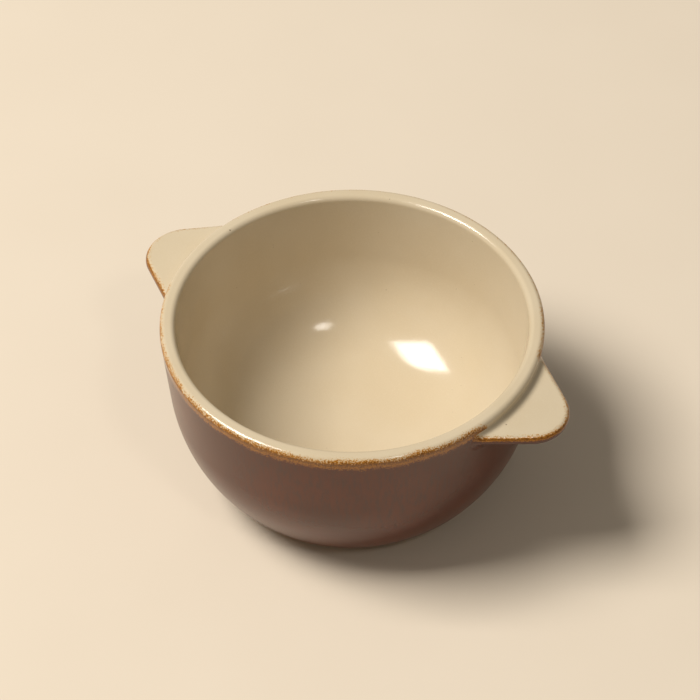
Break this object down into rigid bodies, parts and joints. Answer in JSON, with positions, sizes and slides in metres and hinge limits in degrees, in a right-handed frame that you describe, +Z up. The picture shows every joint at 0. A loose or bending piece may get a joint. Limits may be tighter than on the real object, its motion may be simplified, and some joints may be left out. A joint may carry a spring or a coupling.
{
  "type": "lug soup bowl",
  "caption": "Round stoneware soup bowl with flat rounded lugs below the lip, cream glaze inside and brown glaze outside.",
  "frame": {"origin": "centre of the foot ring, on the plane of the table", "axes": "+X through the right lug, +Y across the bowl, +Z up through the mouth"},
  "size_m": [0.1676, 0.132, 0.068],
  "materials": {
    "bare_clay": "fired unglazed stoneware, matt",
    "lug_glaze": "cream glaze on top, breaking amber to brown over the edges",
    "cream_glaze": "glossy cream glaze with sparse iron specks",
    "brown_glaze": "satin gloss brown glaze"
  },
  "bodies": {
    "root": {"bowl_body": "bare_clay", "left_lug": "lug_glaze", "right_lug": "lug_glaze", "left_lug_slip": "lug_glaze", "right_lug_slip": "lug_glaze", "cream_glaze": "cream_glaze", "brown_glaze": "brown_glaze"}
  },
  "joints": []
}
